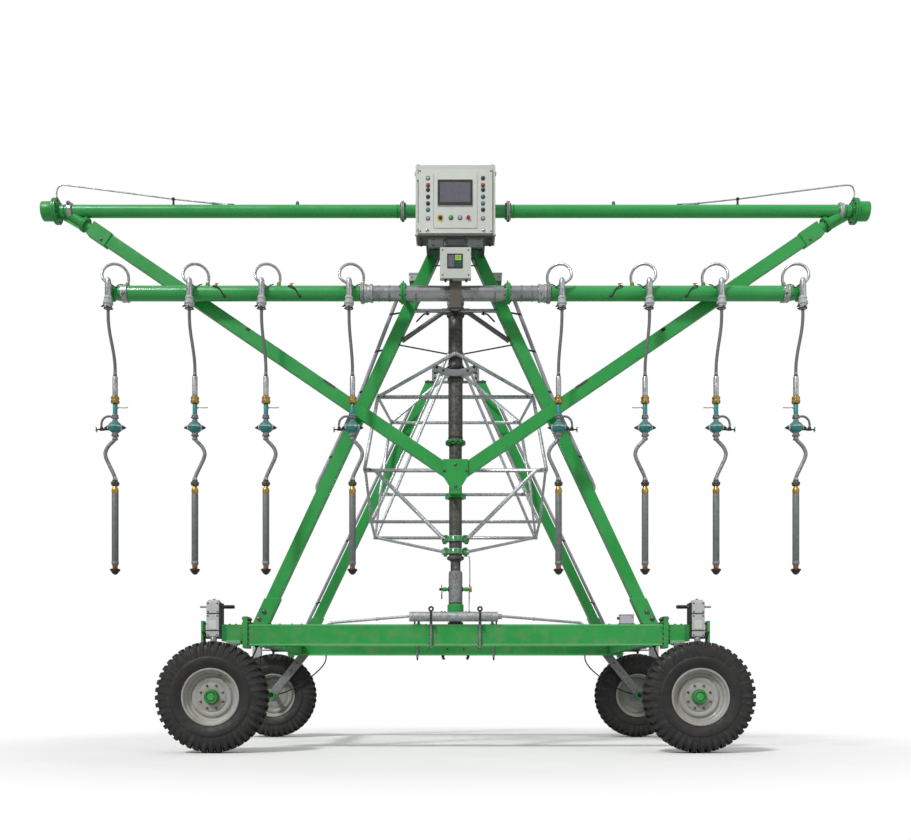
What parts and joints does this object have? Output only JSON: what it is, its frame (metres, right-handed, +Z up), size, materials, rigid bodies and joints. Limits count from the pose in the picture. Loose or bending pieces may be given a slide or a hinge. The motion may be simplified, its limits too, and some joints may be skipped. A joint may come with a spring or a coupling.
{
  "type": "lateral move irrigator",
  "caption": "Wheeled lateral move irrigation cart: two leaning frames on a beam base, spray booms with hanging drop hoses, braces, truss, control cabinet and worm-driven wheels.",
  "frame": {"origin": "on the ground, midway between the four wheels and between the front and rear frame", "axes": "+Z up, +X to the right of someone facing the cabinet, +Y towards the rear frame"},
  "size_m": [9.4, 4.4172, 6.5203],
  "materials": {
    "green_paint": "bright green gloss paint over steel",
    "galvanised_steel": "hot-dip galvanised",
    "dark_steel": "weathered dark grey",
    "cabinet_paint": "pale grey-green powder coat",
    "tyre_rubber": "matt black rubber",
    "rim_paint": "light grey enamel, dusty",
    "hose_rubber": "smooth grey-black hose",
    "fittings": "mixed grey, brass and teal fittings",
    "black_plastic": "black moulding",
    "red_plastic": "red moulding"
  },
  "bodies": {
    "frame": {"base_beam_front": "green_paint", "base_beam_rear": "green_paint", "cross_beam_left": "green_paint", "cross_beam_right": "green_paint", "leg_front_left": "green_paint", "leg_front_right": "green_paint", "leg_rear_left": "green_paint", "leg_rear_right": "green_paint", "brace_left": "green_paint", "brace_right": "green_paint", "gusset_plate": "green_paint", "upper_boom": "green_paint", "lower_boom_left": "green_paint", "lower_boom_right": "green_paint", "centre_manifold": "galvanised_steel", "rear_saddle": "galvanised_steel", "truss_front": "galvanised_steel", "truss_rear": "galvanised_steel", "truss_keel": "galvanised_steel", "spreader_tube": "galvanised_steel", "wheel_strut_front_left": "galvanised_steel", "wheel_strut_front_right": "galvanised_steel", "wheel_strut_rear_left": "galvanised_steel", "wheel_strut_rear_right": "galvanised_steel", "centre_column": "dark_steel", "span_pipe": "dark_steel", "cabinet_bracket": "dark_steel", "cabinet_case": "cabinet_paint", "meter_box": "cabinet_paint", "drive_box_left": "cabinet_paint", "drive_box_right": "cabinet_paint"},
    "wheel_front_left": {"tyre_front_left": "tyre_rubber", "rim_front_left": "rim_paint"},
    "wheel_front_right": {"tyre_front_right": "tyre_rubber", "rim_front_right": "rim_paint"},
    "wheel_rear_left": {"tyre_rear_left": "tyre_rubber", "rim_rear_left": "rim_paint"},
    "wheel_rear_right": {"tyre_rear_right": "tyre_rubber", "rim_rear_right": "rim_paint"},
    "drop_1": {"drop_hose_1": "hose_rubber", "sprayer_drop_1": "fittings"},
    "drop_2": {"drop_hose_2": "hose_rubber", "sprayer_drop_2": "fittings"},
    "drop_3": {"drop_hose_3": "hose_rubber", "sprayer_drop_3": "fittings"},
    "drop_4": {"drop_hose_4": "hose_rubber", "sprayer_drop_4": "fittings"},
    "drop_5": {"drop_hose_5": "hose_rubber", "sprayer_drop_5": "fittings"},
    "drop_6": {"drop_hose_6": "hose_rubber", "sprayer_drop_6": "fittings"},
    "drop_7": {"drop_hose_7": "hose_rubber", "sprayer_drop_7": "fittings"},
    "drop_8": {"drop_hose_8": "hose_rubber", "sprayer_drop_8": "fittings"},
    "door": {"cabinet_door": "cabinet_paint"},
    "switch": {"main_switch": "black_plastic"},
    "stop": {"stop_button": "red_plastic"},
    "lever_left": {"drive_lever_left": "black_plastic"},
    "lever_right": {"drive_lever_right": "black_plastic"}
  },
  "joints": [
    {"name": "wheel_spin_front_left", "type": "hinge", "parent": "frame", "child": "wheel_front_left", "pos_m": [-2.72, -1.97, 0.625], "axis": [0, 1, 0], "continuous": true},
    {"name": "wheel_spin_front_right", "type": "hinge", "parent": "frame", "child": "wheel_front_right", "pos_m": [2.72, -1.97, 0.625], "axis": [0, 1, 0], "continuous": true},
    {"name": "wheel_spin_rear_left", "type": "hinge", "parent": "frame", "child": "wheel_rear_left", "pos_m": [-2.72, 1.97, 0.625], "axis": [0, 1, 0], "continuous": true},
    {"name": "wheel_spin_rear_right", "type": "hinge", "parent": "frame", "child": "wheel_rear_right", "pos_m": [2.72, 1.97, 0.625], "axis": [0, 1, 0], "continuous": true},
    {"name": "drop_sway_1", "type": "hinge", "parent": "frame", "child": "drop_1", "pos_m": [-3.85, -2.1, 4.927], "axis": [0, 1, 0], "range_deg": [-5, 5]},
    {"name": "drop_sway_2", "type": "hinge", "parent": "frame", "child": "drop_2", "pos_m": [-2.95, -2.1, 4.927], "axis": [0, 1, 0], "range_deg": [-5, 5]},
    {"name": "drop_sway_3", "type": "hinge", "parent": "frame", "child": "drop_3", "pos_m": [-2.15, -2.1, 4.927], "axis": [0, 1, 0], "range_deg": [-5, 5]},
    {"name": "drop_sway_4", "type": "hinge", "parent": "frame", "child": "drop_4", "pos_m": [-1.18, -2.1, 4.927], "axis": [0, 1, 0], "range_deg": [-5, 5]},
    {"name": "drop_sway_5", "type": "hinge", "parent": "frame", "child": "drop_5", "pos_m": [1.18, -2.1, 4.927], "axis": [0, 1, 0], "range_deg": [-5, 5]},
    {"name": "drop_sway_6", "type": "hinge", "parent": "frame", "child": "drop_6", "pos_m": [2.15, -2.1, 4.927], "axis": [0, 1, 0], "range_deg": [-5, 5]},
    {"name": "drop_sway_7", "type": "hinge", "parent": "frame", "child": "drop_7", "pos_m": [2.95, -2.1, 4.927], "axis": [0, 1, 0], "range_deg": [-5, 5]},
    {"name": "drop_sway_8", "type": "hinge", "parent": "frame", "child": "drop_8", "pos_m": [3.85, -2.1, 4.927], "axis": [0, 1, 0], "range_deg": [-5, 5]},
    {"name": "door_hinge", "type": "hinge", "parent": "frame", "child": "door", "pos_m": [-0.421, -2.1603, 6.09], "axis": [0, 0, -1], "range_deg": [0, 110]},
    {"name": "switch_turn", "type": "hinge", "parent": "door", "child": "switch", "pos_m": [-0.167, -2.1786, 5.901], "axis": [0, 1, 0], "range_deg": [0, 90]},
    {"name": "stop_press", "type": "slide", "parent": "door", "child": "stop", "axis": [0, 1, 0], "range_m": [0, 0.006], "stiffness_N_per_m": 900, "springref_m": -0.002},
    {"name": "lever_pull_left", "type": "slide", "parent": "frame", "child": "lever_left", "axis": [1, 0, 0], "range_m": [0, 0.05]},
    {"name": "lever_pull_right", "type": "slide", "parent": "frame", "child": "lever_right", "axis": [-1, 0, 0], "range_m": [0, 0.05]}
  ]
}
